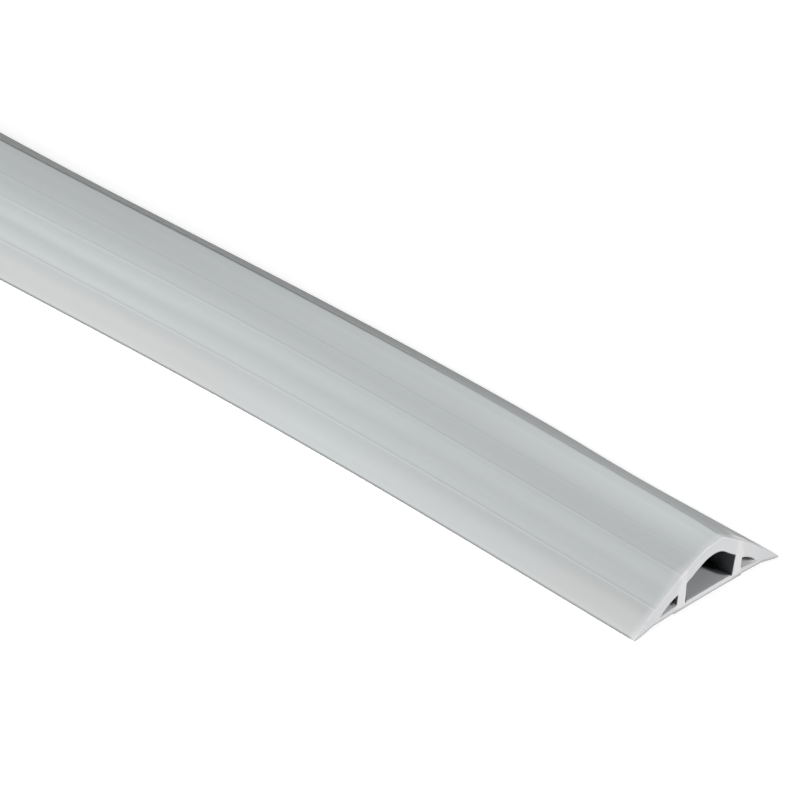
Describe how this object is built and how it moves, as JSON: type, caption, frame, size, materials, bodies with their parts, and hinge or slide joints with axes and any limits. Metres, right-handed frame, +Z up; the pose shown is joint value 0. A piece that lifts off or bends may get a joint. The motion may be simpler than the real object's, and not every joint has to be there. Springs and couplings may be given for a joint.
{
  "type": "flexible cable channel",
  "caption": "Straight length of soft low-dome floor channel with thin edges and a main cable hollow running through between two webs.",
  "frame": {"origin": "middle of the footprint, at the level of the two thin edges that rest on the floor", "axes": "+X along the channel, +Y across its width, +Z up out of the floor"},
  "size_m": [1.0012, 0.0742, 0.023],
  "materials": {
    "channel_plastic": "light grey soft extruded plastic, satin, with fine lines along its length"
  },
  "bodies": {
    "root": {"cable_channel": "channel_plastic"}
  },
  "joints": []
}
